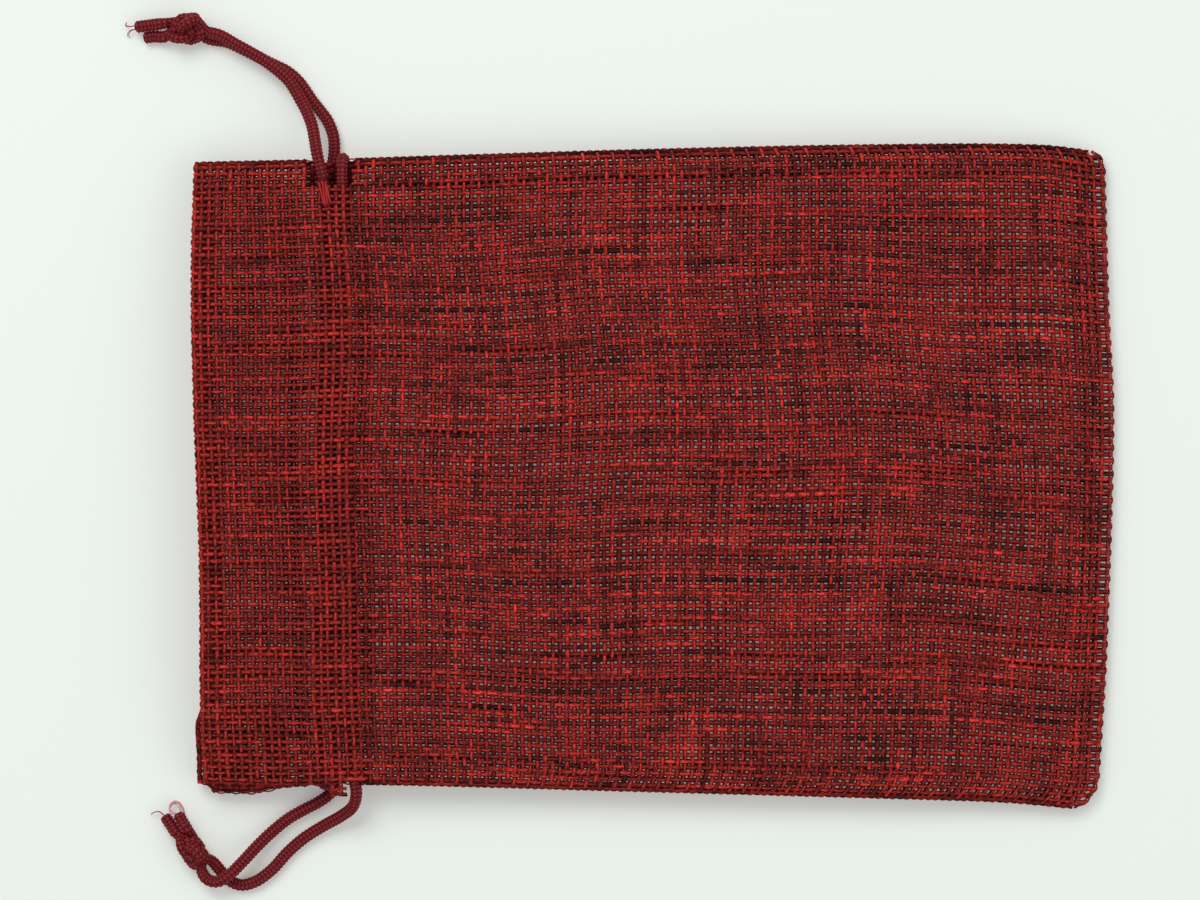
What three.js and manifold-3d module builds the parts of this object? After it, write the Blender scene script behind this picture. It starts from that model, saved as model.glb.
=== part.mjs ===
// Flat drawstring pouch of coarse woven cloth, lying on its back panel, with two drawcords.
// Millimetres, +Z up. The mouth faces -X and the folded base +X; the origin is the middle of
// the pouch's footprint, on the surface that it lies on. "Upper" is the +Y side, "lower" the -Y side.
//
// Every cloth layer is a grid in two numbers: u runs 0 at the mouth, 1 and 2 at the two stitch
// rows of the cord casing, 3 at the base; t runs -1 at the lower side edge to 1 at the upper one.
import * as THREE from 'three';
import { mergeVertices } from 'three/addons/utils/BufferGeometryUtils.js';
import Module from 'manifold-3d';

const wasm = await Module();
wasm.setup();

// Driving dimensions
const CLOTH = 0.7;              // thickness of one layer
const GAP = 0.3;                // clearance between touching pieces
const THREAD = 0.4;             // thickness of a sewn row
const CORD = 2.4;               // diameter of a drawcord
const TUNNEL = CORD + 1.0;      // height inside a casing
const ALLOWANCE = 5.5;          // width of a side seam's allowance
const HEM_INSET = 7;            // a hem layer stops this far inside the side edges
const HEM_TAIL = 4;             // the hem runs on past the second stitch row
const MOUTH_OPENING = 4.8;      // gap between the two hems at the middle of the casing
const SIDE_SAG = 4;             // how much lower the front hem is near the side edges
const ROW_PINCH = 1.0;          // height between panel and hem at a stitch row
const OPEN_END = 7.5;           // depth of the unsewn casing ends
const TURN_INSET = 2.9;         // a cord starts its far turn this far inside the side edge
const HALF_WIDTH = 62;          // nominal, for turning millimetres into t
const BODY_LENGTH = 145;        // nominal, for turning millimetres into u past the casing
const EDGE = 2 * CLOTH + 2 * GAP + 1.5;   // thickness of the sewn side edge
const BASE_EDGE = 3.5;          // thickness of the folded base
const CORNER_RADIUS = { upper: 3.5, lower: 6 };

const CLOTH_RED = new THREE.MeshStandardMaterial({ color: 0x8c2026, roughness: 0.9, metalness: 0 });
const HEM_RED = new THREE.MeshStandardMaterial({ color: 0x7a1c22, roughness: 0.9, metalness: 0 });
const THREAD_RED = new THREE.MeshStandardMaterial({ color: 0xa32a2e, roughness: 0.7, metalness: 0 });
const CORD_PLUM = new THREE.MeshStandardMaterial({ color: 0x6e1c2a, roughness: 0.6, metalness: 0 });

const clamp = THREE.MathUtils.clamp;
const lerp = THREE.MathUtils.lerp;
const smooth = THREE.MathUtils.smoothstep;

// A smooth function through (input, output) points, flat beyond the first and last.
function through(points) {
  const slope = (i) => {
    const [a, b] = [points[Math.max(i - 1, 0)], points[Math.min(i + 1, points.length - 1)]];
    return (b[1] - a[1]) / (b[0] - a[0]);
  };
  return (input) => {
    const x = clamp(input, points[0][0], points.at(-1)[0]);
    const i = clamp(points.findIndex((p) => p[0] >= x) - 1, 0, points.length - 2);
    const [[x0, y0], [x1, y1]] = [points[i], points[i + 1]];
    const s = (x - x0) / (x1 - x0);
    const reach = x1 - x0;
    const start = y0 * (1 + 2 * s) * (1 - s) ** 2 + slope(i) * reach * s * (1 - s) ** 2;
    return start + y1 * s * s * (3 - 2 * s) + slope(i + 1) * reach * s * s * (s - 1);
  };
}

// The pouch's outline, and the two stitch rows, in millimetres
const upperEdge = through([
  [-90, 61.3], [-66, 61.8], [-41, 62.6], [0, 63.9], [45, 64.85], [75, 64.85], [88, 63.4],
]);
const lowerEdge = through([
  [-90, -60.2], [-71, -60.6], [-56, -60.2], [0, -61.7], [48, -63.1], [69, -63.9], [82, -65.15],
]);
const mouthLine = through([
  [-1, -87.6], [-0.78, -88.2], [-0.27, -88.4], [0.18, -89.4], [0.6, -90], [1, -89.6],
]);
const baseLine = through([
  [-1, 86.7], [-0.77, 87.7], [-0.54, 88.6], [0.18, 90], [0.55, 89], [1, 88.2],
]);
const mouthRow = (t) => lerp(-67.9, -70.9, (t + 1) / 2);
const bodyRow = (t) => lerp(-56.3, -58.6, (t + 1) / 2);
// The back layer of the mouth's lower corner has crept out from under the front one.
const creep = (u, t) => 1.6 * smooth(-t, 0.72, 0.82) * smooth(0.9 - u, 0, 0.4);

// How far a rounded corner of the base draws the base line in
function cornerDrop(t) {
  const radius = t > 0 ? CORNER_RADIUS.upper : CORNER_RADIUS.lower;
  const fromEdge = (1 - Math.abs(t)) * HALF_WIDTH;
  return fromEdge >= radius ? 0 : radius - Math.sqrt(radius ** 2 - (radius - fromEdge) ** 2);
}

// The panels stop short of the folds at the mouth and the base; past a fold's ends they run on
// to the outline.
const BASE_FOLD_END = 0.88;
const MOUTH_FOLD_END = 1 - HEM_INSET / HALF_WIDTH;
const MOUTH_FOLD = CLOTH + GAP / 2;
const stop = (t, reach, end) => reach * (1 - smooth(Math.abs(t), end, 0.99));
const mouthStop = (t) => stop(t, MOUTH_FOLD + GAP, MOUTH_FOLD_END);
const baseStop = (t) => stop(t, BASE_EDGE / 2 + GAP, BASE_FOLD_END + 0.01);

function plan(u, t, back = false) {
  const base = baseLine(t) - cornerDrop(t) - baseStop(t);
  const lines = [mouthLine(t) + mouthStop(t), mouthRow(t), bodyRow(t), base];
  const zone = clamp(Math.floor(u), 0, 2);
  const drift = back ? creep(u, t) : 0;
  const x = lerp(lines[zone], lines[zone + 1], u - zone) - drift;
  const y = lerp(lowerEdge(x) - drift, upperEdge(x), (t + 1) / 2);
  return [x, y];
}

// Heights. The side edge lies at edgeMiddle(u); the panels part from it towards the middle.
const edgeMiddle = through([[0, 4.4], [1, 5.2], [2, 5.2], [2.3, 4.5], [2.7, 3.7], [3, BASE_EDGE / 2]]);
const CASING_FLOOR = CLOTH + ROW_PINCH;                       // inside of the back layers at a stitch row
const BACK_HEM_TOP = CLOTH + TUNNEL + CLOTH;            // at the casing's middle
const FRONT_HEM = BACK_HEM_TOP + MOUTH_OPENING;         // underside of the front hem there
const ROW_TOP = FRONT_HEM + 2 * CLOTH + ROW_PINCH;            // top of the front panel at a stitch row
const CASING_TOP = FRONT_HEM + 2 * CLOTH + TUNNEL;      // and between the rows
const frontMiddle = through([
  [0, 11.4], [0.75, 11.9], [1, ROW_TOP], [2, ROW_TOP], [2.12, 11.2], [2.35, 10.4], [2.75, 8.8], [2.9, 6.8],
  [3, BASE_EDGE],
]);
const billow = (u) => (u <= 1 || u >= 2 ? 0 : (1 - Math.abs(2 * u - 3) ** 4) ** 0.5);
const crown = (t) => Math.max(0, 1 - t * t) ** 0.43;
const backRise = (t) => smooth(Math.abs(t), 0.885, 1);
const sag = (y) => SIDE_SAG * Math.min(1, (y / 57) ** 2);
const sideSag = (t) => sag(t * HALF_WIDTH);

function frontTop(u, t) {
  const edge = edgeMiddle(u) + EDGE / 2;
  const middle = frontMiddle(u) + (CASING_TOP - ROW_TOP) * billow(u);
  return edge + (middle - edge) * crown(t);
}
const backBottom = (u, t) => Math.max(0, edgeMiddle(u) - EDGE / 2) * backRise(t);
function frontHemBottom(u, t) {
  const underPanel = frontTop(Math.min(u, 1), t) - 2 * CLOTH - GAP;
  return lerp(underPanel, FRONT_HEM - sideSag(t), clamp(u, 0, 1));
}
function backHemBottom(u, t) {
  const start = CLOTH + GAP;
  return backBottom(u, t) + lerp(start, CASING_FLOOR, clamp(u, 0, 1)) + (TUNNEL - ROW_PINCH) * billow(u);
}

// Evenly spaced numbers, and the stations that the cloth grids use
const even = (from, to, steps) => Array.from({ length: steps + 1 }, (_, i) => lerp(from, to, i / steps));
const HEADER_U = even(0, 1, 3);
const CASING_U = [1.04, 1.1, 1.2, 1.35, 1.5, 1.65, 1.8, 1.9, 1.96, 2];
const BODY_U = [2.06, 2.12, 2.2, 2.3, 2.45, 2.6, 2.75, 2.87, 2.94, 3];
const PANEL_U = [...HEADER_U, ...CASING_U, ...BODY_U];
const bothSides = (ts) => [...ts.map((t) => -t).reverse(), 0, ...ts];
const HEM_T = bothSides([0.3, 0.55, 0.72, 0.8, MOUTH_FOLD_END]);
const PANEL_T = bothSides([0.3, 0.55, 0.72, 0.8, MOUTH_FOLD_END, 0.91, 0.935, 0.96, 0.98, 1]);

// A closed solid between two grids of points, with walls round their rims
function gridGeometry(rows, columns, upper, lower) {
  const points = [];
  for (const face of [upper, lower]) {
    for (const row of rows) {
      for (const column of columns) points.push(...face(row, column));
    }
  }
  const [high, wide] = [rows.length, columns.length];
  const at = (i, j) => i * wide + j;
  const under = (k) => k + high * wide;
  const index = [];
  for (let i = 0; i < high - 1; i++) {
    for (let j = 0; j < wide - 1; j++) {
      const [a, b, c, d] = [at(i, j), at(i + 1, j), at(i + 1, j + 1), at(i, j + 1)];
      index.push(a, b, c, a, c, d);
      index.push(under(c), under(b), under(a), under(d), under(c), under(a));
    }
  }
  const rim = [];
  for (let i = 0; i < high - 1; i++) rim.push(at(i, 0));
  for (let j = 0; j < wide - 1; j++) rim.push(at(high - 1, j));
  for (let i = high - 1; i > 0; i--) rim.push(at(i, wide - 1));
  for (let j = wide - 1; j > 0; j--) rim.push(at(0, j));
  rim.forEach((p, k) => {
    const q = rim[(k + 1) % rim.length];
    index.push(under(p), under(q), q, under(p), q, p);
  });
  const geometry = new THREE.BufferGeometry();
  geometry.setAttribute('position', new THREE.Float32BufferAttribute(points, 3));
  geometry.setIndex(volumeOf(points, index) < 0 ? index.reverse() : index);
  return geometry;
}

function volumeOf(points, index) {
  const corner = (k) => new THREE.Vector3().fromArray(points, 3 * index[k]);
  let six = 0;
  for (let k = 0; k < index.length; k += 3) {
    six += corner(k).dot(corner(k + 1).cross(corner(k + 2)));
  }
  return six / 6;
}

// A layer of cloth whose underside is at height bottom(u, t)
function layer(rows, columns, bottom, back = false) {
  const at = (rise) => (u, t) => [...plan(u, t, back), bottom(u, t) + rise];
  return gridGeometry(rows, columns, at(CLOTH), at(0));
}

function toManifold(geometry) {
  const plain = new THREE.BufferGeometry();
  plain.setAttribute('position', geometry.getAttribute('position').clone());
  if (geometry.index) plain.setIndex(geometry.index.clone());
  const merged = mergeVertices(plain, 1e-5);
  return new wasm.Manifold(new wasm.Mesh({
    numProp: 3,
    vertProperties: merged.getAttribute('position').array,
    triVerts: Uint32Array.from(merged.index.array),
  }));
}

function cut(geometry, tools) {
  const body = tools.reduce((left, tool) => left.subtract(toManifold(tool)), toManifold(geometry));
  const mesh = body.getMesh();
  const result = new THREE.BufferGeometry();
  result.setAttribute('position', new THREE.BufferAttribute(mesh.vertProperties, 3));
  result.setIndex(new THREE.BufferAttribute(mesh.triVerts, 1));
  return result;
}

function block(low, high) {
  const size = high.map((h, k) => h - low[k]);
  return new THREE.BoxGeometry(...size).translate(...low.map((l, k) => l + size[k] / 2));
}

// The ends of both casings are left unsewn, so that the cords can come out.
const OPEN_ENDS = [
  block([-67.2, upperEdge(-63) - OPEN_END, -5], [-58.9, 70, 20]),
  block([-67.2, -70, -5], [-56.9, lowerEdge(-62) + OPEN_END, 20]),
];

function panel(back) {
  const bottom = back ? backBottom : (u, t) => frontTop(u, t) - CLOTH;
  return cut(layer(PANEL_U, PANEL_T, bottom, back), OPEN_ENDS);
}

function hem(back) {
  const tail = 2 + HEM_TAIL / BODY_LENGTH;
  const rows = [...HEADER_U, ...CASING_U, tail];
  return layer(rows, HEM_T, back ? backHemBottom : frontHemBottom, back);
}

// A half-round fold of cloth along a line: place(t, angle, radius) gives its points.
function fold(columns, place, outer, inner) {
  const angles = even(-Math.PI / 2, Math.PI / 2, 5);
  const at = (radius) => (t, angle) => place(t, angle, radius);
  return gridGeometry(columns, angles, at(outer), at(inner));
}

function baseFold() {
  const place = (t, angle, radius) => {
    const reach = BASE_EDGE / 2;
    const x = baseLine(t) - reach + radius * Math.cos(angle);
    return [x, lerp(lowerEdge(x), upperEdge(x), (t + 1) / 2), reach + radius * Math.sin(angle)];
  };
  return fold(even(-BASE_FOLD_END, BASE_FOLD_END, 14), place, BASE_EDGE / 2, BASE_EDGE / 2 - CLOTH);
}

function mouthFold(back) {
  const place = (t, angle, radius) => {
    const [x, y] = plan(0, t, back);
    const middle = back ? backBottom(0, t) + MOUTH_FOLD : frontTop(0, t) - MOUTH_FOLD;
    return [x - GAP - radius * Math.cos(angle), y, middle + radius * Math.sin(angle)];
  };
  return fold(HEM_T, place, MOUTH_FOLD, GAP / 2);
}

// Two layers of allowance inside a side seam, from one u to another. side is 1 or -1.
const fromSide = (side, inset) => side * (1 - inset / HALF_WIDTH);
function allowance(side, rows) {
  const columns = [fromSide(side, 0.3), fromSide(side, ALLOWANCE)];
  const at = (rise) => (u, t) => [...plan(u, t), edgeMiddle(u) + rise];
  return gridGeometry(rows, columns, at(0.75), at(-0.75));
}

// The overlock thread stands just inside the allowance's raw edge.
function overlock(side, rows) {
  const columns = [fromSide(side, ALLOWANCE + GAP), fromSide(side, ALLOWANCE + GAP + 0.6)];
  const at = (rise) => (u, t) => [...plan(u, t), edgeMiddle(u) + rise];
  return gridGeometry(rows, columns, at(0.9), at(-0.9));
}

// A sewn row between the outer layer and the hem, where it holds the two together
function stitchRow(back, u) {
  const clear = (ROW_PINCH - THREAD) / 2;
  const floor = back
    ? (t) => backBottom(u, t) + CLOTH + clear
    : (t) => frontHemBottom(u, t) + CLOTH + clear;
  const at = (rise) => (t, offset) => {
    const [x, y] = plan(u, t, back);
    return [x + offset, y, floor(t) + rise];
  };
  return gridGeometry(HEM_T, [-THREAD, THREAD], at(THREAD), at(0));
}

// Cords
const vectors = (points) => points.map((p) => new THREE.Vector3(...p));

function tube(points, steps) {
  const section = new THREE.Shape();
  section.absarc(0, 0, CORD / 2, 0, 2 * Math.PI, false);
  const path = new THREE.CatmullRomCurve3(vectors(points), false, 'centripetal');
  const options = { steps, curveSegments: 4, bevelEnabled: false, extrudePath: path };
  return new THREE.ExtrudeGeometry(section, options);
}

// Height of a cord's middle inside the front casing, and inside the back one
const frontRun = (y) => FRONT_HEM + CLOTH + TUNNEL / 2 - sag(y);
const BACK_RUN = CLOTH + TUNNEL / 2;

// A cord's held run: through the front casing, round the far side, and back through the back
// casing. side is the side of its far turn; the four x values are where it enters and turns.
function drawcordRun(side, end, enterFront, turnFront, turnBack, leaveBack) {
  const bend = side * (side > 0 ? upperEdge(-61) - TURN_INSET : -lowerEdge(-61) - TURN_INSET);
  const radius = (frontRun(bend) - BACK_RUN) / 2;
  const front = even(end, bend, 10).map((y, i) => [lerp(enterFront, turnFront, i / 10), y, frontRun(y)]);
  const turn = even(75, -75, 5).map((degrees) => {
    const a = THREE.MathUtils.degToRad(degrees);
    const x = lerp(turnBack, turnFront, (Math.sin(a) + 1) / 2);
    return [x, bend + side * radius * Math.cos(a), BACK_RUN + radius * (1 + Math.sin(a))];
  });
  const back = even(bend, end, 8).map((y, i) => [lerp(turnBack, leaveBack, i / 8), y, BACK_RUN]);
  return tube([...front, ...turn, ...back], 76);
}

// Free strands, from the casing to the knot: hand-laid points
const UPPER_FRONT = [
  [-64.3, 57.8, 7.9], [-64.9, 60.2, 8.1], [-65.5, 62.8, 7.8], [-66, 65.6, 6.5], [-66.6, 68.4, 5.3],
  [-67.6, 71, 4.4], [-69, 73.6, 3.7], [-71.1, 77, 3.5], [-73.3, 79.1, 3.7], [-75.7, 80.9, 3.75],
  [-78.7, 82.7, 3.8], [-81.6, 84.3, 3.8], [-84.6, 86, 3.7], [-87.2, 86.8, 3.6],
];
const UPPER_BACK = [
  [-63.6, 57.8, 2.35], [-62.7, 61, 1.9], [-62.4, 63.8, 1.4], [-62.6, 66.5, 1.25], [-63.7, 69.4, 1.25],
  [-65.3, 71.6, 1.25], [-66.8, 73.5, 1.25], [-68, 75.3, 1.25], [-69.6, 77.4, 1.25], [-71.6, 79.1, 1.25],
  [-74.2, 80.4, 1.25], [-77, 81.8, 1.25], [-80, 83.3, 1.25], [-83.2, 84.8, 1.25], [-87.6, 85.8, 1.3],
];
const LOWER_BACK = [
  [-62.3, -56.6, 2.35], [-62.3, -59.5, 1.8], [-63.3, -62, 1.35], [-65.7, -63.8, 1.25], [-68.4, -65.2, 1.25],
  [-71.5, -67, 1.3], [-74.6, -69.5, 1.7], [-77.5, -72.3, 2.6], [-80.3, -75.3, 3.7], [-83, -77.9, 4.1],
  [-85.2, -79.1, 3.8], [-87.2, -78.6, 3.3], [-88.3, -76.7, 3],
];
const LOWER_FRONT = [
  [-58.6, -56.6, 8], [-58.2, -59.2, 8.1], [-57.9, -61.6, 7.5], [-58.6, -64.3, 5.6], [-61, -66.3, 3.4],
  [-64.5, -68.3, 1.9], [-68.4, -70.8, 1.3], [-71.6, -73.6, 1.25], [-74.6, -76.9, 1.25], [-77.8, -79.2, 1.25],
  [-80.6, -79.9, 1.25], [-82.9, -79, 1.25], [-84.5, -77.3, 1.4], [-86.3, -75.1, 2.4],
];
// Cut ends, from the knot outwards
const UPPER_END_FRONT = [[-95.3, 88.4, 3], [-98, 88.1, 2.6], [-101.3, 87.7, 2]];
const UPPER_END_BACK = [[-95.3, 85.9, 2.2], [-97.5, 85.9, 1.35], [-99.7, 85.6, 1.25]];
const LOWER_END_FRONT = [[-91, -68.9, 3.2], [-92.1, -67.3, 2.9], [-92.9, -65.8, 2.6]];
const LOWER_END_BACK = [[-93, -69.9, 2.2], [-94.3, -68.2, 1.6], [-95.6, -66.3, 1.3]];

function knot(centre, radii) {
  return new THREE.SphereGeometry(1, 14, 10).scale(...radii).translate(...centre);
}

// A few turns of loose thread over the casing where the upper cord goes in
function exitTack() {
  const at = (rise) => (x, y) => [x, y, frontTop(1.55, y / HALF_WIDTH) + GAP + rise];
  return gridGeometry([-65.4, -63.2], [52.6, 53.4, 54.2], at(THREAD), at(0));
}

const pouch = new THREE.Group();
function add(name, geometry, material) {
  const mesh = new THREE.Mesh(geometry, material);
  mesh.name = name;
  pouch.add(mesh);
}

const SEAM_HEADER_U = [0.03, 0.5, 0.93];
const SEAM_BODY_U = [2.03, 2.3, 2.55, 2.8, 2.9];

for (const [name, back] of [['front', false], ['back', true]]) {
  add(`${name}_panel`, panel(back), CLOTH_RED);
  add(`${name}_hem`, hem(back), HEM_RED);
  add(`${name}_mouth_fold`, mouthFold(back), CLOTH_RED);
  add(`${name}_stitch_mouth`, stitchRow(back, 1), THREAD_RED);
  add(`${name}_stitch_body`, stitchRow(back, 2), THREAD_RED);
}
add('base_fold', baseFold(), CLOTH_RED);
for (const [name, side] of [['upper', 1], ['lower', -1]]) {
  for (const [part, rows] of [['header', SEAM_HEADER_U], ['body', SEAM_BODY_U]]) {
    add(`${name}_seam_${part}`, allowance(side, rows), HEM_RED);
    add(`${name}_overlock_${part}`, overlock(side, rows), THREAD_RED);
  }
}
add('exit_tack', exitTack(), THREAD_RED);

add('upper_drawcord_run', drawcordRun(-1, 57.4, -64.3, -61.6, -65.4, -63.6), CORD_PLUM);
add('lower_drawcord_run', drawcordRun(1, -56.2, -58.6, -60.7, -60.4, -62.3), CORD_PLUM);
for (const [name, points, steps] of [
  ['upper_strand_front', UPPER_FRONT, 22], ['upper_strand_back', UPPER_BACK, 22],
  ['lower_strand_front', LOWER_FRONT, 22], ['lower_strand_back', LOWER_BACK, 20],
  ['upper_end_front', UPPER_END_FRONT, 3], ['upper_end_back', UPPER_END_BACK, 3],
  ['lower_end_front', LOWER_END_FRONT, 3], ['lower_end_back', LOWER_END_BACK, 3],
]) {
  add(name, tube(points, steps), CORD_PLUM);
}
add('upper_knot', knot([-91.3, 87.6, 3.1], [3.6, 3.1, 3]), CORD_PLUM);
add('lower_knot', knot([-89.7, -72.9, 3.1], [2.8, 3.9, 3]), CORD_PLUM);

export default pouch;
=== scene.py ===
"""Looks of the drawstring pouch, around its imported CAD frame. Metres; the mouth faces -X.

The cloth is woven yarn by yarn, on the same surfaces that the CAD layers have: u runs 0 at the
mouth, 1 and 2 at the casing's stitch rows, 3 at the base; t runs -1 at the lower side, 1 at the upper.
"""
import math

import bpy
import numpy as np
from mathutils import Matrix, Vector


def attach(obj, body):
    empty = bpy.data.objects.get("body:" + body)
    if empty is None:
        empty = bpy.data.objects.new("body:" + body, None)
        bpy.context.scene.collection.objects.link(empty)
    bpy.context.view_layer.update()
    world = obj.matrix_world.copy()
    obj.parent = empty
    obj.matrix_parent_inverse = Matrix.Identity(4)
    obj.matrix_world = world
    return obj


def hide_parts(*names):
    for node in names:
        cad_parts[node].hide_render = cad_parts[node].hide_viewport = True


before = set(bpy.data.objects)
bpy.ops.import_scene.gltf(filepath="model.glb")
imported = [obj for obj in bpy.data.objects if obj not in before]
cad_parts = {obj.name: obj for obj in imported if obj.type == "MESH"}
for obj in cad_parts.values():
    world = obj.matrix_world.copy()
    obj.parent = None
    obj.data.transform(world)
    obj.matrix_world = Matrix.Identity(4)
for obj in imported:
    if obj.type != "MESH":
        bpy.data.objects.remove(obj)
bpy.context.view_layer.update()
MM = 0.001
UP = np.array([0.0, 0.0, 1.0])

# The camera looks straight down, from far enough that the layers hardly shift over each other.
VIEW_CENTRE = np.array([-0.0105, 0.0051])
VIEW_WIDTH = 0.2338
CAMERA_HEIGHT = 1.2
SIDE_HEIGHT = 5 * MM


def make_camera():
    camera = bpy.data.objects.new("camera", bpy.data.cameras.new("camera"))
    bpy.context.scene.collection.objects.link(camera)
    camera.location = (*VIEW_CENTRE, CAMERA_HEIGHT)
    camera.data.sensor_width = 36
    camera.data.lens = 36 * (CAMERA_HEIGHT - SIDE_HEIGHT) / VIEW_WIDTH
    camera.data.clip_end = 10
    bpy.context.scene.camera = camera


# Curves through points, and smoothed random numbers

def lerp(a, b, share):
    return a + (b - a) * share


def smooth(x, low, high):
    share = np.clip((x - low) / (high - low), 0, 1)
    return share * share * (3 - 2 * share)


def through(points):
    """A smooth function through (input, output) points, flat beyond the first and last."""
    at = np.array([p[0] for p in points])
    to = np.array([p[1] for p in points])
    before = np.maximum(np.arange(len(at)) - 1, 0)
    after = np.minimum(np.arange(len(at)) + 1, len(at) - 1)
    slope = (to[after] - to[before]) / (at[after] - at[before])

    def value(x):
        x = np.clip(x, at[0], at[-1])
        i = np.clip(np.searchsorted(at, x) - 1, 0, len(at) - 2)
        reach = at[i + 1] - at[i]
        s = (x - at[i]) / reach
        start = to[i] * (1 + 2 * s) * (1 - s) ** 2 + slope[i] * reach * s * (1 - s) ** 2
        return start + to[i + 1] * s * s * (3 - 2 * s) + slope[i + 1] * reach * s * s * (s - 1)

    return value


def even(points, step):
    """The same line with points a step apart."""
    gaps = np.linalg.norm(np.diff(points, axis=0), axis=1)
    along = np.concatenate([[0], np.cumsum(gaps)])
    count = max(2, int(round(along[-1] / step)) + 1)
    at = np.linspace(0, along[-1], count)
    return np.stack([np.interp(at, along, points[:, k]) for k in range(3)], axis=1)


def spline(points, step):
    """A centripetal Catmull-Rom line through the points, resampled."""
    p = np.array(points, float)
    p = np.concatenate([[2 * p[0] - p[1]], p, [2 * p[-1] - p[-2]]])
    line = []
    for i in range(1, len(p) - 2):
        q = p[i - 1:i + 3]
        knots = np.concatenate([[0], np.cumsum(np.linalg.norm(np.diff(q, axis=0), axis=1) ** 0.5)])
        s = np.linspace(knots[1], knots[2], 13)[:, None]

        def mix(a, b, low, high):
            return a * (high - s) / (high - low) + b * (s - low) / (high - low)

        one = [mix(q[k], q[k + 1], knots[k], knots[k + 1]) for k in range(3)]
        two = [mix(one[k], one[k + 1], knots[k], knots[k + 2]) for k in range(2)]
        line.append(mix(two[0], two[1], knots[1], knots[2])[:-1])
    line.append(p[-2:-1])
    return even(np.concatenate(line), step)


def length_of(points):
    return float(np.linalg.norm(np.diff(points, axis=0), axis=1).sum())


random = np.random.default_rng(11)


def wander(count, width):
    """count random numbers of unit spread that change over about width of them."""
    reach = int(3 * width) + 1
    weight = np.exp(-(np.arange(-reach, reach + 1) / width) ** 2)
    noise = np.convolve(random.normal(size=count + 2 * reach), weight, "valid")
    return noise / np.sqrt((weight ** 2).sum())


# Meshes

def new_mesh(name, points, faces, colours=None, extra=None):
    mesh = bpy.data.meshes.new(name)
    mesh.from_pydata(np.asarray(points).tolist(), [], faces)
    mesh.polygons.foreach_set("use_smooth", [True] * len(mesh.polygons))
    if colours is not None:
        dye = mesh.attributes.new("dye", "FLOAT_COLOR", "POINT")
        dye.data.foreach_set("color", np.asarray(colours, np.float32).ravel())
    for key, values in (extra or {}).items():
        layer = mesh.attributes.new(key, "FLOAT_VECTOR", "POINT")
        layer.data.foreach_set("vector", np.asarray(values, np.float32).ravel())
    mesh.update()
    piece = bpy.data.objects.new(name, mesh)
    bpy.context.scene.collection.objects.link(piece)
    return piece


def tube_frames(line):
    """A sideways and an upright direction at each point of a line, without twist."""
    along = np.gradient(line, axis=0)
    along /= np.linalg.norm(along, axis=1, keepdims=True)
    first = np.cross(along[0], UP)
    if np.linalg.norm(first) < 0.1:
        first = np.cross(along[0], (1.0, 0, 0))
    side = [first / np.linalg.norm(first)]
    for a in along[1:]:
        s = side[-1] - a * np.dot(side[-1], a)
        side.append(s / np.linalg.norm(s))
    side = np.array(side)
    return side, np.cross(along, side)


def ring_faces(rings, round_it, start=0):
    """Faces of a tube of rings, with its two ends closed."""
    a = start + np.arange(rings - 1)[:, None] * round_it + np.arange(round_it)[None, :]
    b = start + np.arange(rings - 1)[:, None] * round_it + (np.arange(round_it)[None, :] + 1) % round_it
    quads = np.stack([a, b, b + round_it, a + round_it], axis=2).reshape(-1, 4)
    ends = [list(range(start + round_it - 1, start - 1, -1)),
            list(range(start + (rings - 1) * round_it, start + rings * round_it))]
    return quads.tolist() + ends


# Cords. Listed routes, as in the CAD source.
CORD = 2.4 * MM
KNIT_PITCH = 0.75 * MM       # length of one knitted stitch
KNIT_WALES = 7               # columns of stitches round the cord
KNIT_DEPTH = 0.24            # depth of the pits, as a share of the radius
KNIT_STEP = 0.14 * MM
KNIT_ROUND = 28
RUN_DROP = 0.15 * MM         # how much lower than its tunnel's middle a cord lies in the front casing

UPPER_FRONT = [
    (-0.0643, 0.0578, 0.0079), (-0.0649, 0.0602, 0.0081), (-0.0655, 0.0628, 0.0078),
    (-0.0660, 0.0656, 0.0065), (-0.0666, 0.0684, 0.0053), (-0.0676, 0.0710, 0.0044),
    (-0.0690, 0.0736, 0.0037), (-0.0711, 0.0770, 0.0035), (-0.0733, 0.0791, 0.0037),
    (-0.0757, 0.0809, 0.00375), (-0.0787, 0.0827, 0.0038), (-0.0816, 0.0843, 0.0038),
    (-0.0846, 0.0860, 0.0037), (-0.0872, 0.0868, 0.0036),
]
UPPER_BACK = [
    (-0.0636, 0.0578, 0.00235), (-0.0627, 0.0610, 0.0019), (-0.0624, 0.0638, 0.0014),
    (-0.0626, 0.0665, 0.00125), (-0.0637, 0.0694, 0.00125), (-0.0653, 0.0716, 0.00125),
    (-0.0668, 0.0735, 0.00125), (-0.0680, 0.0753, 0.00125), (-0.0696, 0.0774, 0.00125),
    (-0.0716, 0.0791, 0.00125), (-0.0742, 0.0804, 0.00125), (-0.0770, 0.0818, 0.00125),
    (-0.0800, 0.0833, 0.00125), (-0.0832, 0.0848, 0.00125),
    (-0.0876, 0.0858, 0.0013),
]
LOWER_BACK = [
    (-0.0623, -0.0566, 0.00235), (-0.0623, -0.0595, 0.0018), (-0.0633, -0.0620, 0.00135),
    (-0.0657, -0.0638, 0.00125), (-0.0684, -0.0652, 0.00125), (-0.0715, -0.0670, 0.0013),
    (-0.0746, -0.0695, 0.0017), (-0.0775, -0.0723, 0.0026), (-0.0803, -0.0753, 0.0037),
    (-0.0830, -0.0779, 0.0041), (-0.0852, -0.0791, 0.0038), (-0.0872, -0.0786, 0.0033),
    (-0.0883, -0.0767, 0.0030),
]
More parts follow.
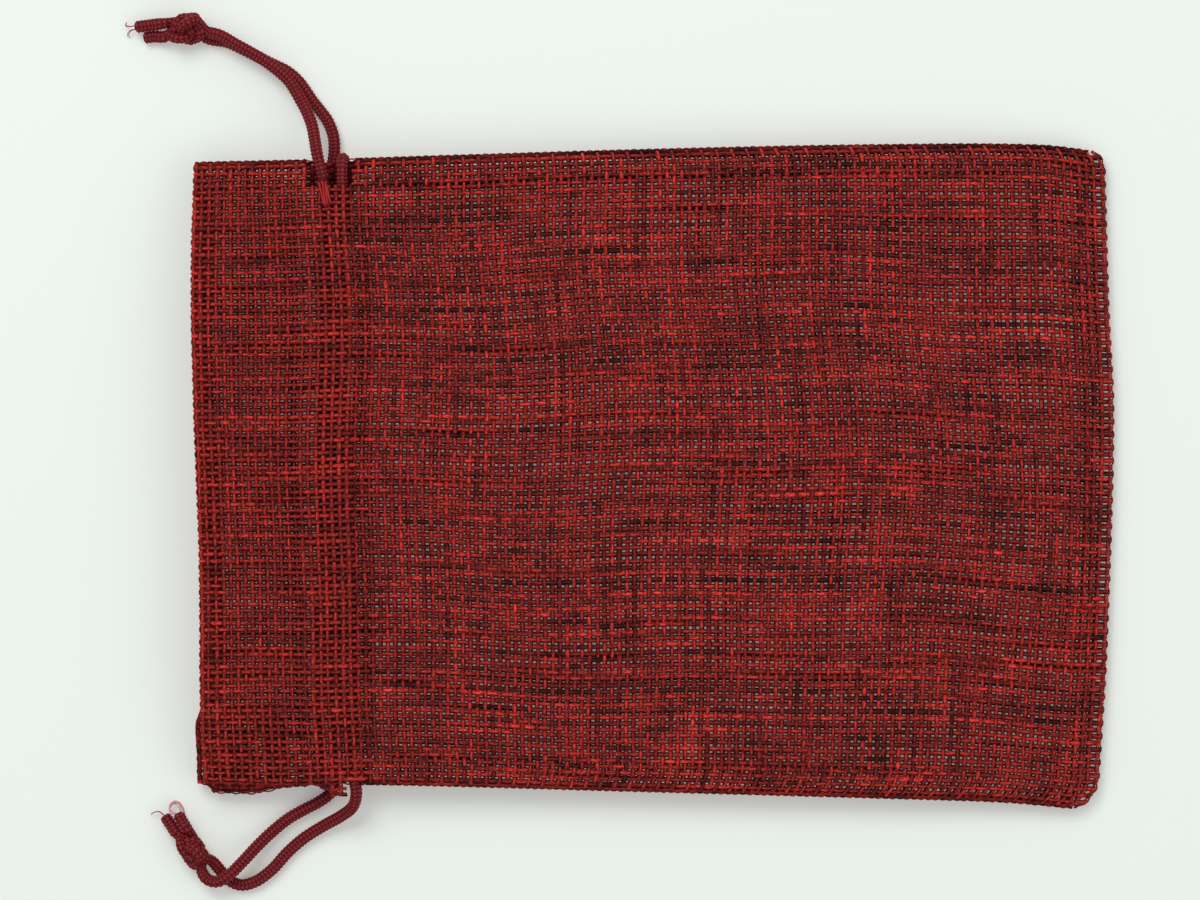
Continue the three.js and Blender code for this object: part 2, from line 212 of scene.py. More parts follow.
LOWER_FRONT = [
    (-0.0586, -0.0566, 0.0080), (-0.0582, -0.0592, 0.0081), (-0.0579, -0.0616, 0.0075),
    (-0.0586, -0.0643, 0.0056), (-0.0610, -0.0663, 0.0034), (-0.0645, -0.0683, 0.0019),
    (-0.0684, -0.0708, 0.0013), (-0.0716, -0.0736, 0.00125), (-0.0746, -0.0769, 0.00125),
    (-0.0778, -0.0792, 0.00125), (-0.0806, -0.0799, 0.00125), (-0.0829, -0.0790, 0.00125),
    (-0.0845, -0.0773, 0.0014), (-0.0863, -0.0751, 0.0024),
]
# Cut ends, from the knot outwards
UPPER_END_FRONT = [(-0.0953, 0.0884, 0.0030), (-0.0980, 0.0881, 0.0026), (-0.1013, 0.0877, 0.0020)]
UPPER_END_BACK = [(-0.0953, 0.0859, 0.0022), (-0.0975, 0.0859, 0.00135), (-0.0997, 0.0856, 0.00125)]
LOWER_END_FRONT = [(-0.0910, -0.0689, 0.0032), (-0.0921, -0.0673, 0.0029), (-0.0929, -0.0658, 0.0026)]
LOWER_END_BACK = [(-0.0930, -0.0699, 0.0022), (-0.0943, -0.0682, 0.0016), (-0.0956, -0.0663, 0.0013)]

KNOT_CORD = 1.7 * MM         # the cord is squeezed this thin inside a knot
KNOT_SHOWN = 2.0 * MM        # and looks this thick there
KNOT_PAIR = 1.3 * MM         # distance between the two strands of a knot before they settle
KNOT_REACH = 3.4 * MM        # half of a knot's length along its axis
CUT_END = [0.97, 0.9, 0.78, 0.55]  # how a cord narrows over its last rings


def loose_knot(scale, pair, reach):
    """Two strands side by side along an open overhand knot whose axis is +Y."""
    gap = 0.3
    p = np.linspace(gap, 2 * math.pi - gap, 120)
    ring = 2 + np.cos(3 * p)
    path = np.stack([ring * np.cos(2 * p), ring * np.sin(2 * p), np.sin(3 * p)], axis=1)
    tube = np.cos(3 * p)
    outward = np.stack([tube * np.cos(2 * p), tube * np.sin(2 * p), np.sin(3 * p)], axis=1)
    strands = []
    for side in (1, -1):
        body = path * scale + side * pair / 2 * outward
        lead = np.linspace(reach, 0.1 * reach, 6)[:, None]
        start = body[0] + np.array([-0.25, -1, 0]) * lead
        end = body[-1] + np.array([-0.25, 1, 0]) * lead[::-1]
        strands.append(np.concatenate([start, body, end]))
    return strands


def settle(strands, cord, rounds):
    """Pushes the strands apart wherever they press into each other, and keeps them smooth."""
    lines = [even(s, 0.45 * cord) for s in strands]
    sizes = [len(line) for line in lines]
    x = np.concatenate(lines)
    strand = np.repeat([0, 1], sizes)
    index = np.concatenate([np.arange(n) for n in sizes])
    near = (strand[:, None] == strand[None, :]) & (abs(index[:, None] - index[None, :]) < 5)
    inner = np.where((index > 0) & (index < np.array(sizes)[strand] - 1))[0]
    for _ in range(rounds):
        away = x[:, None] - x[None, :]
        gap = np.linalg.norm(away, axis=2) + 1e-12
        over = np.where(near, 0, np.clip(cord - gap, 0, None))
        x += 0.25 * (away / gap[..., None] * over[..., None]).sum(axis=1)
        x[inner] += 0.25 * ((x[inner - 1] + x[inner + 1]) / 2 - x[inner])
    return [x[:sizes[0]], x[sizes[0]:]]


def knotted(centre, axis, size):
    """The two strands' routes inside a knot at a place, heading along axis."""
    axis = np.array([*axis, 0.0]) / math.hypot(*axis)
    side = np.cross(axis, UP)
    lines = []
    for strand in settle(loose_knot(0.9 * MM, KNOT_PAIR, 5 * MM), KNOT_CORD, 150):
        x, y, z = (strand * size).T
        placed = centre + np.outer(x, side) + np.outer(y, axis) + np.outer(z, UP)
        placed[:, 2] = np.maximum(placed[:, 2], KNOT_SHOWN / 2)
        lines.append(placed[abs(strand[:, 1]) < KNOT_REACH])
    return lines


def knit(line, radius):
    """Points of a knitted tube along a line, and how high each lies in the knit."""
    side, up = tube_frames(line)
    along = np.concatenate([[0], np.cumsum(np.linalg.norm(np.diff(line, axis=0), axis=1))])
    turn = np.arange(KNIT_ROUND) / KNIT_ROUND
    wale = (turn * KNIT_WALES) % 1 * 2 - 1
    slant = along[:, None] / KNIT_PITCH + 0.42 * abs(wale)[None, :]
    ridge = 0.5 + 0.5 * np.cos(2 * math.pi * slant)
    rise = (0.25 + 0.75 * ridge) * (1 - 0.55 * abs(wale[None, :]) ** 2.5)
    r = radius[:, None] * (1 - KNIT_DEPTH * (1 - rise)) * 1.04
    a = 2 * math.pi * turn
    points = line[:, None] + r[..., None] * (
        np.cos(a)[None, :, None] * side[:, None] + np.sin(a)[None, :, None] * up[:, None]
    )
    return points.reshape(-1, 3), rise.ravel()


def cord_mesh(name, line, radius):
    points, rise = knit(line, radius)
    faces = ring_faces(len(line), KNIT_ROUND)
    turn = np.tile(np.arange(KNIT_ROUND) / KNIT_ROUND, len(line))
    along = np.repeat(np.arange(len(line)) * KNIT_STEP, KNIT_ROUND)
    # The knit's height also drives the painted shade in the pits.
    piece = new_mesh(name, points, faces, extra={"knit": np.stack([rise, turn, along], axis=1)})
    piece.data.materials.append(cord_material())
    return piece


def free_strand(name, body, route, inside, tail):
    """A strand from the casing through its knot to its cut end."""
    line = spline([*route, *inside[2:-2:3], *tail], KNIT_STEP)
    middle = inside.mean(axis=0)
    away = np.linalg.norm(line - middle, axis=1)
    radius = lerp(KNOT_SHOWN, CORD, smooth(away, 3.2 * MM, 5.5 * MM)) / 2
    radius[-len(CUT_END):] *= CUT_END
    piece = cord_mesh(name, line, radius)
    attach(piece, body)
    return piece, line


def held_run(name, body, side, end, enter, turn_front, turn_back, leave):
    """A cord's run inside the casings, and its turn round the far side.

    end is the Y at its own exit. The others are the X where it enters the front casing, where its
    turn starts and ends, and where it leaves the back casing.
    """
    bend = side * TURN_AT[side]
    radius = (front_run(bend) - BACK_RUN) / 2
    ys = np.linspace(end, bend, 11)
    front = np.stack([np.linspace(enter, turn_front, 11), ys, front_run(ys) - RUN_DROP], axis=1)
    a = np.radians(np.linspace(75, -75, 6))
    around = np.stack([
        lerp(turn_back, turn_front, (np.sin(a) + 1) / 2),
        bend + side * radius * np.cos(a),
        BACK_RUN + (radius - RUN_DROP / 2) * (1 + np.sin(a)),
    ], axis=1)
    ys = np.linspace(bend, end, 9)
    back = np.stack([np.linspace(turn_back, leave, 9), ys, np.full(9, BACK_RUN)], axis=1)
    line = spline(np.concatenate([front, around, back]), KNIT_STEP)
    piece = cord_mesh(name, line, np.full(len(line), CORD / 2))
    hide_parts(name)
    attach(piece, body)
    piece.name = name + "_knit"
    return piece


# The cloth's measures, as in the CAD source
CLOTH = 0.7 * MM
GAP = 0.3 * MM
TUNNEL = CORD + 1.0 * MM
ROW_PINCH = 1.0 * MM
SIDE_SAG = 4 * MM
HALF_WIDTH = 62 * MM
EDGE = 2 * CLOTH + 2 * GAP + 1.5 * MM
BASE_EDGE = 3.5 * MM
HEM_END = 1 - 7 / 62
BACK_RUN = CLOTH + TUNNEL / 2
BACK_HEM_TOP = 2 * CLOTH + TUNNEL
FRONT_HEM = BACK_HEM_TOP + 4.8 * MM
ROW_TOP = FRONT_HEM + 2 * CLOTH + ROW_PINCH
CASING_TOP = FRONT_HEM + 2 * CLOTH + TUNNEL
TURN_INSET = 2.9 * MM        # from the side edge to the middle of a cord's far turn

upper_edge = through([
    (-0.090, 0.0613), (-0.066, 0.0618), (-0.041, 0.0626), (0, 0.0639), (0.045, 0.06485),
    (0.075, 0.06485), (0.088, 0.0634),
])
lower_edge = through([
    (-0.090, -0.0602), (-0.071, -0.0606), (-0.056, -0.0602), (0, -0.0617), (0.048, -0.0631),
    (0.069, -0.0639), (0.082, -0.06515),
])
mouth_line = through([
    (-1, -0.0876), (-0.78, -0.0882), (-0.27, -0.0884), (0.18, -0.0894), (0.6, -0.0900), (1, -0.0896),
])
base_line = through([
    (-1, 0.0867), (-0.77, 0.0877), (-0.54, 0.0886), (0.18, 0.0900), (0.55, 0.0890), (1, 0.0882),
])
edge_middle = through([
    (0, 0.0044), (1, 0.0052), (2, 0.0052), (2.3, 0.0045), (2.7, 0.0037), (3, BASE_EDGE / 2),
])
front_middle = through([
    (0, 0.0114), (0.75, 0.0119), (1, ROW_TOP), (2, ROW_TOP), (2.12, 0.0112), (2.35, 0.0104),
    (2.75, 0.0088), (2.9, 0.0068), (3, BASE_EDGE),
])
TURN_AT = {1: float(upper_edge(-0.061)) - TURN_INSET, -1: -float(lower_edge(-0.061)) - TURN_INSET}


def sag(y):
    return SIDE_SAG * np.minimum(1, (y / 0.057) ** 2)


def front_run(y):
    return FRONT_HEM + CLOTH + TUNNEL / 2 - sag(y)


def corner_drop(t):
    radius = np.where(t > 0, 3.5 * MM, 6 * MM)
    inward = np.clip(radius - (1 - abs(t)) * HALF_WIDTH, 0, radius)
    return radius - np.sqrt(radius ** 2 - inward ** 2)


MOUTH_STOP = CLOTH + 1.5 * GAP
MOUTH_ROW_X = (-0.0679, -0.0709)   # the casing's two stitch rows, at the lower and the upper side
BODY_ROW_X = (-0.0563, -0.0586)
BACK_DRIFT = 1.6 * MM              # how far the back layer sticks out at the mouth's lower corner


def plan(u, t, back):
    """Where a point of the cloth lies seen from above."""
    u, t = np.broadcast_arrays(np.asarray(u, float), np.asarray(t, float))
    row = (t + 1) / 2
    lines = np.stack([
        mouth_line(t) + MOUTH_STOP,
        lerp(*MOUTH_ROW_X, row),
        lerp(*BODY_ROW_X, row),
        base_line(t) - corner_drop(t) - BASE_EDGE / 2,
    ])
    zone = np.clip(np.floor(u).astype(int), 0, 2)
    drift = BACK_DRIFT * smooth(-t, 0.72, 0.82) * smooth(0.9 - u, 0, 0.4) if back else 0
    here = np.take_along_axis(lines, zone[None], 0)[0]
    there = np.take_along_axis(lines, zone[None] + 1, 0)[0]
    x = lerp(here, there, u - zone) - drift
    y = lerp(lower_edge(x) - drift * smooth(u, 0.05, 0.13), upper_edge(x), row)
    return x, y


def billow(u):
    inside = (u > 1) & (u < 2)
    return np.where(inside, np.sqrt(np.clip(1 - abs(2 * u - 3) ** 4, 0, 1)), 0)


def crown(t):
    return np.clip(1 - t * t, 0, 1) ** 0.43


def front_top(u, t):
    edge = edge_middle(u) + EDGE / 2
    return edge + (front_middle(u) + (CASING_TOP - ROW_TOP) * billow(u) - edge) * crown(t)


def near_exits(x):
    """1 beside the cord exits, where the back layer stays flat on the table, and 0 elsewhere."""
    return smooth(x, -0.0705, -0.0675) * smooth(-x, 0.0545, 0.0575)


def back_bottom(u, t):
    x, _ = plan(u, t, True)
    rise = smooth(abs(t), 0.885, 1)
    return np.maximum(0, edge_middle(u) - EDGE / 2) * rise * (1 - near_exits(x))


def front_hem_bottom(u, t):
    under = front_top(np.minimum(u, 1), t) - 2 * CLOTH - GAP
    return lerp(under, FRONT_HEM - sag(t * HALF_WIDTH), np.clip(u, 0, 1))


def back_hem_bottom(u, t):
    low = lerp(CLOTH + GAP, CLOTH + ROW_PINCH, np.clip(u, 0, 1))
    return back_bottom(u, t) + low + (TUNNEL - ROW_PINCH) * billow(u)


# The weave. Lengthwise yarns run from a hem's raw edge, round the mouth and along a panel to
# the base; crosswise yarns run from side to side and turn in at the seams.
YARNS = 99                   # lengthwise yarns across a panel
PICK = 1.455 * MM            # distance between crosswise yarns
FLAT_SHARE = 0.22            # a yarn lies level this share of a pitch to each side of a crossing
OVER = 0.17 * MM             # how far a yarn rises and dips at crossings
LONG_WIDTH = 0.95 * MM
CROSS_WIDTH = 0.90 * MM
EDGE_WIDTH = 0.80 * MM
# Painted light: the hems and allowances lie in shade behind the panels, so they are coloured brighter,
# standing in for light that the yarns let through.
HEM_PAINTED_LIGHT = 0.9               # how many shades brighter the layers behind the panels are
YARN_TOP = 0.22 * MM
YARN_LOW = 0.07 * MM
# Painted shade: each yarn is coloured darker along its two edges than on its ridge, where shade falls
# between the yarns.
YARN_PAINTED_SHADE = np.array([0.5, 1.1, 0.5])  # a yarn is darker along its two edges than on its ridge
TURN_OUT = 0.5 * MM          # how far a turned-in side edge bulges past the panel
EDGE_ANGLES = np.radians([20, 90, 160])  # the places of the extra yarns round a turned edge
FLAT_END = 1 - (TURN_OUT + CLOTH / 2) / HALF_WIDTH
INSETS = FLAT_END * HALF_WIDTH * (2 * np.arange(5) + 1) / YARNS

middle_x = [float(plan(u, 0.0, False)[0]) for u in (0, 1, 2, 3)]
picks = int((middle_x[3] - middle_x[0]) / PICK)
PICK_U = np.interp(np.linspace(middle_x[0], middle_x[3], 2 * picks + 1)[1::2], middle_x, [0, 1, 2, 3])
HEM_U = PICK_U[PICK_U < 2.025]
YARN_T = FLAT_END * (-1 + (2 * np.arange(YARNS) + 1) / YARNS)


def under_front(u, t, x, y, z):
    """Moves a point of a lower layer to just below the front layer's same point, so that holes line up."""
    share = (CAMERA_HEIGHT - z) / (CAMERA_HEIGHT - front_top(u, t))
    inside = smooth(1 - abs(t), 0, 0.1) * smooth(3 - u, 0, 0.08) * smooth(u, 0, 0.3)
    dx, dy = (share - 1) * (x - VIEW_CENTRE[0]), (share - 1) * (y - VIEW_CENTRE[1])
    return x + dx * inside, y + dy * inside


def wave(x, y):
    """The cloth's grain wanders a little, but not at the outline."""
    inside = smooth(HALF_WIDTH - abs(y), 0, 0.02) * smooth(0.088 - abs(x), 0, 0.02)
    dx = 0.45 * np.sin(y / 0.017 + 1.0 + x / 0.05) + 0.3 * np.sin(y / 0.0085 + x / 0.03)
    dy = 0.5 * np.sin(x / 0.019 + y / 0.06) + 0.25 * np.sin(x / 0.0075 + 2 + y / 0.03)
    return dx * inside * MM, dy * inside * MM


def pucker(x, y, u):
    """The sewn rows pull the cloth in, and ripple it."""
    mouth_row = np.exp(-(np.where(u < 1, (u - 1) * 6, (u - 1) * 10)) ** 2)
    body_row = np.exp(-(np.where(u < 2, (u - 2) * 10, (u - 2) * 60)) ** 2)
    near_row = mouth_row + body_row
    ripple = 0.5 + 0.5 * np.sin(y / 0.00115 + 2.1 * np.sin(y / 0.009))
    header = smooth(2.06 - u, 0, 0.3)
    waves = 0.25 * header * np.sin(y / 0.0026 + x / 0.004)
    return (-0.22 * near_row - 0.30 * ripple * near_row) * MM + waves * MM


TURN_COVER = 4.75 * MM       # radius of the cloth that lies over the upper cord's far turn
EXIT_COVER = 9.75 * MM       # height of the cloth that lies over the lower cord's exit


def over_the_turn(x, y, z):
    """Near the lower exit the front layer lies over the upper cord's far turn."""
    beside = smooth(x, -0.0685, -0.0665) * smooth(-x, 0.0602, 0.0606) * smooth(-y, 0.050, 0.0545)
    centre = -TURN_AT[-1]
    out = np.clip(centre - y, 0, TURN_COVER - 0.01 * MM)
    over = BACK_RUN + (front_run(centre) - BACK_RUN) / 2 + np.sqrt(TURN_COVER ** 2 - out ** 2)
    return lerp(z, np.maximum(z, over), beside)


def over_the_exit(x, y, z):
    """At the lower exit the front layer lies over the cord that leaves there."""
    beside = smooth(x, -0.0612, -0.0600) * smooth(-x, 0.0558, 0.0570) * smooth(-y, 0.050, 0.054)
    return lerp(z, np.maximum(z, EXIT_COVER), beside)


def panel_point(u, t, back):
    x, y = plan(u, t, back)
    dx, dy = wave(x, y)
    if back:
        z = back_bottom(u, t) + CLOTH / 2
        x, y = under_front(u, t, x, y, z)
    else:
        z = front_top(u, t) - CLOTH / 2 + pucker(x, y, u) * smooth(1 - abs(t), 0, 0.1)
        z = over_the_exit(x, y, over_the_turn(x, y, z))
    return np.stack(np.broadcast_arrays(x + dx, y + dy, z), axis=-1)


def hem_point(u, t, back):
    x, y = plan(u, t, back)
    dx, dy = wave(x, y)
    z = (back_hem_bottom(u, t) if back else front_hem_bottom(u, t)) + CLOTH / 2
    x, y = under_front(u, t, x, y, z)
    return np.stack(np.broadcast_arrays(x + dx, y + dy, z), axis=-1)


def mouth_point(angle, t, back):
    """Round the fold at the mouth: angle 0 on the panel, pi on the hem."""
    turned = panel_point(0.0, t + 0 * angle, back)
    radius = (CLOTH + GAP) / 2
    sign = -1 if back else 1
    turned[..., 0] -= GAP + radius * np.sin(angle)
    turned[..., 2] -= sign * radius * (1 - np.cos(angle))
    return turned


def base_point(angle, t, back):
    """Round the fold at the base: angle 0 on the panel, pi/2 at the outermost line."""
    turned = panel_point(3.0, t + 0 * angle, back)
    radius = (BASE_EDGE - CLOTH) / 2
    sign = -1 if back else 1
    turned[..., 0] += radius * np.sin(angle)
    turned[..., 2] = BASE_EDGE / 2 + sign * radius * np.cos(angle)
    return turned


def allowance_point(u, side, inset, back):
    t = side * (FLAT_END - inset / HALF_WIDTH)
    x, y = plan(u, t, back)
    dx, dy = wave(x, y)
    z = edge_middle(u) + (-0.4 if back else 0.4) * MM
    x, y = under_front(u, t, x, y, z)
    return np.stack(np.broadcast_arrays(x + dx, y + dy, z), axis=-1)


def turn_point(u, side, angle, back):
    """Round a turned-in side edge: angle 0 on the panel, pi on the allowance."""
    turned = panel_point(u, side * FLAT_END + 0 * angle, back)
    inner = allowance_point(u, side, 0 * angle, back)
    turned[..., 1] += side * TURN_OUT * np.sin(angle)
    turned[..., 2] = lerp(inner[..., 2], turned[..., 2], (1 + np.cos(angle)) / 2)
    return turned


def in_seam(u):
    return (u > 0.03) & (u < 0.93) | (u > 2.03)


# The openings for the cords at the upper (1) and lower (-1) side: their two ends along X, and their depth
FRONT_GAPS = {1: (-0.0669, -0.0587, 5.3 * MM), -1: (-0.0598, -0.0569, 1.3 * MM)}
BACK_GAPS = {1: (-0.0643, -0.0609, 1.1 * MM), -1: (-0.0647, -0.0609, 1.4 * MM)}
LOWER_TURN_X = (-0.0670, -0.0601)  # where the upper cord's far turn passes through the front layer
TONGUE_X = (-0.0666, -0.0621)
FLAP_X = (-0.0634, -0.0600)


def cloth_there(points, back):
    """False where the layer is left open so that the cords come out."""
    x, y = points[:, 0], points[:, 1]
    gaps = BACK_GAPS if back else FRONT_GAPS
    opened = np.zeros(len(points), bool)
    for side, edge in ((1, upper_edge), (-1, lower_edge)):
        low, high, depth = gaps[side]
        opened |= (x > low) & (x < high) & (side * y > side * edge(x) - depth)
    if not back:
        opened |= inside_turn(points)
    return ~opened


def inside_turn(points):
    """Where the upper cord's far turn stands, with a little room round it."""
    x, y, z = points.T
    bend = -TURN_AT[-1]
    radius = (front_run(bend) - BACK_RUN) / 2
    ring = np.hypot(y - bend, z - BACK_RUN - radius)
    beyond = bend - y > -0.5 * MM
    near = abs(ring - radius) < CORD / 2 + 0.3 * MM
    return beyond & near & (x > LOWER_TURN_X[0]) & (x < LOWER_TURN_X[1])


def tongue(x, t):
    """The part of the front hem that lies bare under the upper cord's strand."""
    return (x > TONGUE_X[0]) & (x < TONGUE_X[1]) & (t > 0) & (t < FLAT_END)


def pairs(centres, pitch=None):
    """Two stations about each crossing, and the number of the crossing."""
    reach = FLAT_SHARE * (np.gradient(centres) if pitch is None else pitch)
    stations = np.stack([centres - reach, centres + reach], axis=1).ravel()
    return stations, np.repeat(np.arange(len(centres)), 2)


class Weave:
    """Collects yarns into one mesh."""

    def __init__(self):
        self.points, self.faces, self.dyes, self.places, self.count = [], [], [], [], 0

    def yarn(self, line, across, sign, width, shade, there):
        """Adds a yarn along a line. across points to its side, and sign says over or under."""
        stops = np.flatnonzero(np.diff(np.concatenate([[0], there.astype(int), [0]])))
        for first, last in zip(stops[::2], stops[1::2]):
            if last - first > 2:
                part = slice(first, last)
                self.strip(line[part], across[part], sign[part], width[part], shade[part])

    def strip(self, line, across, sign, width, shade):
        along = np.gradient(line, axis=0)
        outer = np.cross(along, across)
        outer /= np.linalg.norm(outer, axis=1, keepdims=True)
        middle = line + outer * (OVER * sign)[:, None]
        half = across / np.linalg.norm(across, axis=1, keepdims=True) * width[:, None] / 2
        low = middle - outer * YARN_LOW
        ring = np.stack([low - half, middle + outer * YARN_TOP, low + half], axis=1)
        n = len(line)
        self.faces += ring_faces(n, 3, self.count)
        self.points.append(ring.reshape(-1, 3))
        # Painted shade: the dye is darkened along each yarn's two edges.
        rgb = dye_of(shade)[:, None, :] * YARN_PAINTED_SHADE[None, :, None]
        self.dyes.append(np.concatenate([rgb, np.ones((n, 3, 1))], axis=2).reshape(-1, 4))
        gaps = np.linalg.norm(np.diff(line, axis=0), axis=1)
        run = np.repeat(np.concatenate([[0], np.cumsum(gaps)]) / MM, 3)
        seed = np.full(3 * n, 7.3 * len(self.points))
        self.places.append(np.stack([np.tile([-1, 0, 1], n), run, seed], axis=1))
        self.count += 3 * n

    def build(self, name):
        places = {"yarn": np.concatenate(self.places)}
        points, dyes = np.concatenate(self.points), np.concatenate(self.dyes)
        piece = new_mesh(name, points, self.faces, dyes, places)
        piece.data.materials.append(cloth_material())
        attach(piece, "pouch")
        return piece


# Yarn colours, from the darkest shade to the brightest
SHADES = [-1.9, -0.9, 0.0, 0.8, 1.8]
DYES = np.array([
    (0.040, 0.008, 0.007), (0.140, 0.016, 0.014), (0.300, 0.025, 0.021), (0.470, 0.032, 0.025),
    (0.720, 0.045, 0.034),
])


def dye_of(shade):
    return np.stack([np.interp(shade, SHADES, DYES[:, k]) for k in range(3)], axis=-1)


def lengthwise_shade(n):
    return 0.58 * wander(n, 4) + 0.32 * wander(n, 13) + 0.27 * wander(n, 45) + 0.15 * random.normal()


def in_body(u):
    """0 in the header and the casing, and 1 past the casing."""
    return smooth(u, 1.95, 2.1)


def evened(shade, u):
    """The header's and the casing's layers look more even, and a little brighter, than the body."""
    return shade * lerp(0.60, 1, in_body(u)) + lerp(0.10, 0, in_body(u))


def lengthwise_yarn(weave, t, j, back):
    step = 1e-4
    panel_u, panel_k = pairs(PICK_U)
    hem_u, hem_k = pairs(HEM_U)
    hem_u, hem_k = hem_u[::-1], hem_k[::-1]
    bends = np.radians([150, 90, 30])
    base = np.radians([25, 60, 90])

    def line(at):
        parts = [hem_point(hem_u, at, back), mouth_point(bends, at, back)]
        parts += [panel_point(panel_u, at, back), base_point(base, at, back)]
        return np.concatenate(parts)

    points = line(t)
    across = line(t + step) - points
    crossing = np.concatenate([-2 - hem_k, [-1, -1, -1], panel_k, [picks, picks, picks]])
    sign = np.where((crossing + j) % 2 == 0, 1.0, -1.0)
    sign[-1] = 0
    there = cloth_there(points, back)
    in_hem = np.arange(len(points)) < len(hem_u) + 3
    if abs(t) > HEM_END:
        bare = tongue(points[:, 0], t)
        there = np.where(in_hem, bare & (not back), there)
        there[len(hem_u):len(hem_u) + 3] = [False, True, True]
    else:
        there = np.where(in_hem, True, there)
    n = len(points)
    u = np.concatenate([hem_u, [0, 0, 0], panel_u, [3, 3, 3]])
    # The hem part, in shade behind the panel, is coloured brighter: painted light.
    shade = evened(lengthwise_shade(n), u) + HEM_PAINTED_LIGHT * in_hem
    width = LONG_WIDTH * (1 + 0.10 * wander(n, 9) + 0.03 * random.normal())
    drift = 0.045 * MM * wander(n, 12)
    points = points + across / np.linalg.norm(across, axis=1, keepdims=True) * drift[:, None]
    weave.yarn(points, across, sign, width, shade, there)


def allowance_yarn(weave, side, inset, j, back):
    step = 1e-4
    u, k = pairs(PICK_U)
    points = allowance_point(u, side, inset, back)
    across = side * (allowance_point(u, side, inset + step, back) - points)
    sign = np.where((k + j) % 2 == 0, 1.0, -1.0)
    n = len(points)
    # The allowance yarns, in shade behind the panel, are coloured brighter: painted light.
    weave.yarn(points, across, sign, np.full(n, LONG_WIDTH), lengthwise_shade(n) + HEM_PAINTED_LIGHT, in_seam(u))


def edge_yarn(weave, side, angle, j, back):
    """A lengthwise yarn that lies in a turned-in side edge."""
    step = 0.02
    u, k = pairs(PICK_U)
    u, k = np.concatenate([[-0.045, -0.02], u]), np.concatenate([[-1, -1], k])
    points = turn_point(u, side, angle + 0 * u, back)
    across = side * (turn_point(u, side, angle - step + 0 * u, back) - points)
    sign = np.where((k + j) % 2 == 0, 1.0, -1.0)
    n = len(points)
    there = cloth_there(points, back)
    weave.yarn(points, across, sign, np.full(n, EDGE_WIDTH), lengthwise_shade(n), there)


FLAP_ROWS = np.radians([48, 64, 80, 96])
FLAP_ENDS = np.radians([98, 84, 70, 56, 42])
FLAP_REACH = 4.7 * MM
FLAP_STOP = -0.0597          # the flap ends here, beside the lower cord


def flap_point(x, angle):
    """The front layer's edge pulled out round the upper cord's far turn. angle 0 is straight up."""
    bend = -TURN_AT[-1]
    middle = BACK_RUN + (front_run(bend) - BACK_RUN) / 2
    y, z = bend - FLAP_REACH * np.sin(angle), middle + FLAP_REACH * np.cos(angle)
    return np.stack(np.broadcast_arrays(x, y, z), axis=-1)


def in_flap(u):
    """Crosswise yarns whose lower end is pulled out over the far turn."""
    return FLAP_X[0] < plan(u, -1.0, False)[0] < FLAP_X[1]


def flap_yarns(weave):
    """The lengthwise yarns of the pulled-out edge."""
    pulled = np.array([float(plan(u, -1.0, False)[0]) for u in PICK_U if in_flap(u)])
    at, k = pairs(pulled, PICK)
    at = np.concatenate([[at[0] - 0.4 * MM], at, [FLAP_STOP]])
    k = np.concatenate([k[:1], k, k[-1:]])
    n = len(at)
    for j, angle in enumerate(FLAP_ROWS):
        points = flap_point(at, angle)
        sideways = flap_point(at, angle - 0.1) - points
        sign = np.where((k + j) % 2 == 0, 1.0, -1.0)
        everywhere = np.full(n, True)
        weave.yarn(points, sideways, sign, np.full(n, LONG_WIDTH), lengthwise_shade(n), everywhere)


def crosswise_yarn(weave, u, k, back):
    step = 1e-3
    t, j = pairs(YARN_T)
    seam = bool(in_seam(u))
    turn = np.radians([150, 90, 35]) if seam else np.radians([90, 35])
    if back and not seam:
        turn = turn[:0]
    pulled = in_flap(u) and not back

    def line(at):
        parts = []
        if seam:
            parts.append(allowance_point(at, -1, INSETS[::-1], back))
        if pulled:
            parts.append(flap_point(plan(at, -1.0, False)[0], FLAP_ENDS))
        else:
            parts.append(turn_point(at, -1, turn, back))
        parts.append(panel_point(at, t, back))
        parts.append(turn_point(at, 1, turn[::-1], back))
        if seam:
            parts.append(allowance_point(at, 1, INSETS, back))
        return np.concatenate(parts)

    points = line(u)
    across = -(line(u + step) - points)
    left = list(range(-1 - len(INSETS), -1)) if seam else []
    right = list(range(YARNS + 1, YARNS + 1 + len(left)))
    turned = [-4, -4, -3, -2, -1] if pulled else [-1] * len(turn)
    crossing = np.concatenate([left, turned, j, [YARNS] * len(turn), right])
    sign = np.where((crossing + k) % 2 == 0, -1.0, 1.0)
    there = cloth_there(points, back)
    if pulled:
        there[:len(FLAP_ENDS)] = True
    in_allowance = seam & ((crossing < -1) | (crossing > YARNS))
    # The allowance parts, in shade behind the panel, are coloured brighter: painted light.
    finish_cross(weave, points, across, sign, there, u, HEM_PAINTED_LIGHT * in_allowance)


# The last argument brightens a yarn that lies in shade: painted light.
def finish_cross(weave, points, across, sign, there, u, painted_light=0.0):
    n = len(points)
    shade = evened(0.52 * wander(n, 5) + 0.14 * wander(n, 40) + 0.13 * random.normal() + 0.1, u) + painted_light
    width = CROSS_WIDTH * (1 + 0.10 * wander(n, 9) + 0.05 * random.normal())
    drift = 0.05 * MM * wander(n, 12) + 0.05 * MM * random.normal()
    points = points + across / np.linalg.norm(across, axis=1, keepdims=True) * np.reshape(drift, (-1, 1))
    weave.yarn(points, across, sign, width, shade, there)


